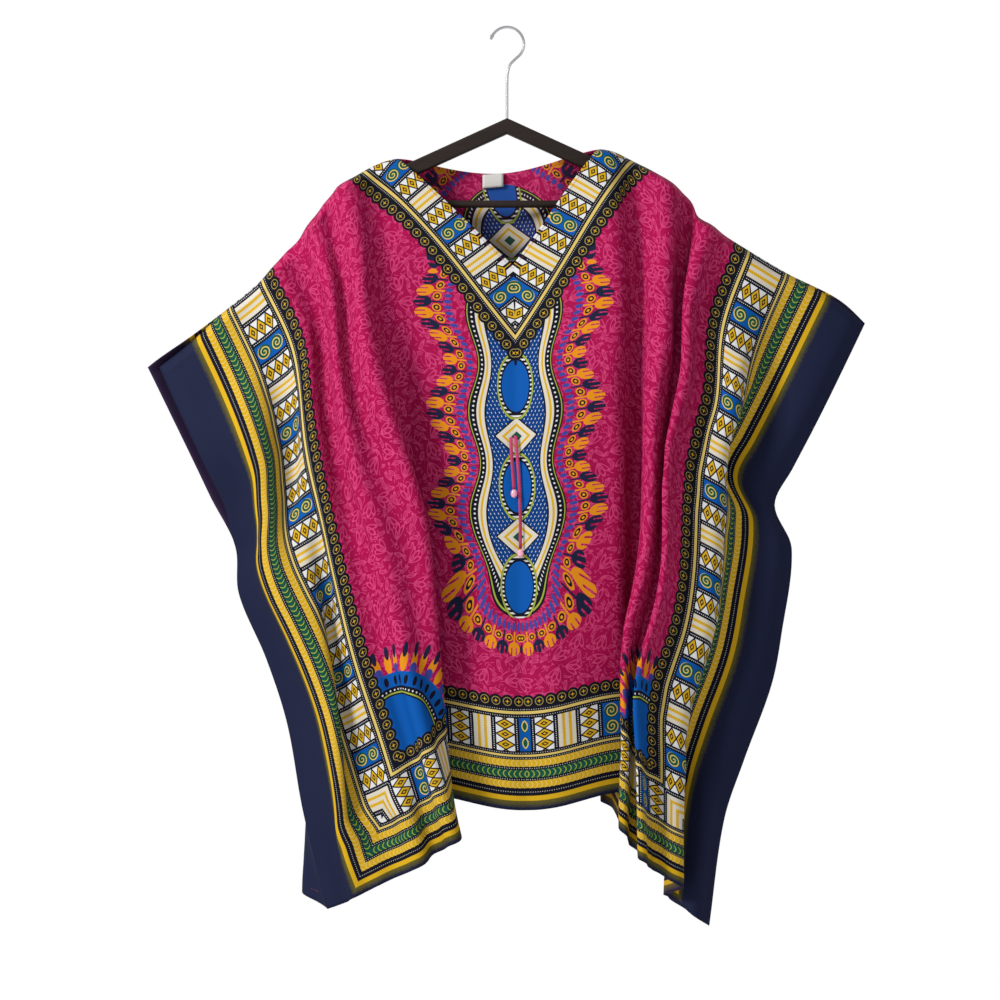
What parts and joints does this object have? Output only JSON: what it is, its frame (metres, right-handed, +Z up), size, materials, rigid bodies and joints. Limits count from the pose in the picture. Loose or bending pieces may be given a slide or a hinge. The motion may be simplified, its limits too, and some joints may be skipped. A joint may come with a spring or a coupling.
{
  "type": "dashiki shirt on a hanger",
  "caption": "Wide kaftan-cut dashiki shirt with a V neck, printed borders and a beaded tie, draped on a wooden trouser-bar hanger.",
  "frame": {"origin": "inside top of the hanger hook, where a rail holds it", "axes": "+Z up, front of the shirt towards -Y, +X towards the right of someone looking at its front"},
  "size_m": [0.9122, 0.1866, 1.1446],
  "materials": {
    "printed_cotton": "woven cotton, printed",
    "label": "plain woven tape, blank",
    "tie": "flat woven tape",
    "bead": "clear tinted",
    "dark_wood": "stained, satin lacquer",
    "chrome": "polished"
  },
  "bodies": {
    "root": {"front_panel": "printed_cotton", "back_panel": "printed_cotton", "neck_label": "label", "tie_long": "tie", "tie_short": "tie", "bead_long": "bead", "bead_short": "bead", "hanger_arms": "dark_wood", "hanger_bar": "dark_wood", "hanger_hook": "chrome"}
  },
  "joints": []
}
